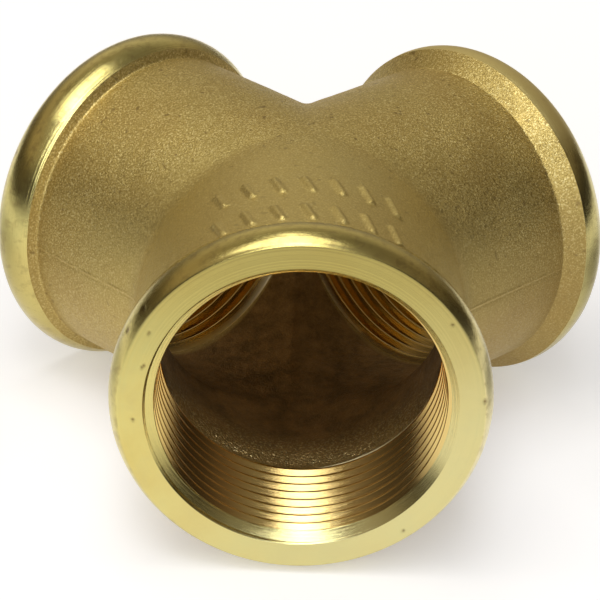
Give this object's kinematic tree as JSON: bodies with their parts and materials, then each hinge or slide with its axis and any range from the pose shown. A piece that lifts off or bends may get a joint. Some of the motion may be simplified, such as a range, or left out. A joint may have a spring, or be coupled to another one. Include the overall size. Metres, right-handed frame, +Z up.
{
  "type": "wye pipe fitting",
  "caption": "Y-shaped brass pipe fitting: female-threaded sockets with rounded machined rims, around a hollow cast junction.",
  "frame": {"origin": "bottom centre of the fitting's bounding box, where it stands on its three rims; the three axes cross 29.5 mm above it and 3.3 mm in front of it, at (0, -0.0033, 0.0295)", "axes": "-Y along the straight socket, out of its mouth; +X to the right socket's side, so the two branch sockets point 45 degrees left and right of +Y; +Z up, square to the plane of the three axes"},
  "size_m": [0.1032, 0.0966, 0.059],
  "materials": {
    "cast_brass": "as cast and shot blasted: fine, even, matt grain with a soft metallic sparkle",
    "machined_brass": "turned bright on a lathe: fine concentric tool marks on the end faces, glossy rounded rims and threads"
  },
  "bodies": {
    "root": {"junction_body": "cast_brass", "front_socket": "machined_brass", "left_socket": "machined_brass", "right_socket": "machined_brass"}
  },
  "joints": []
}
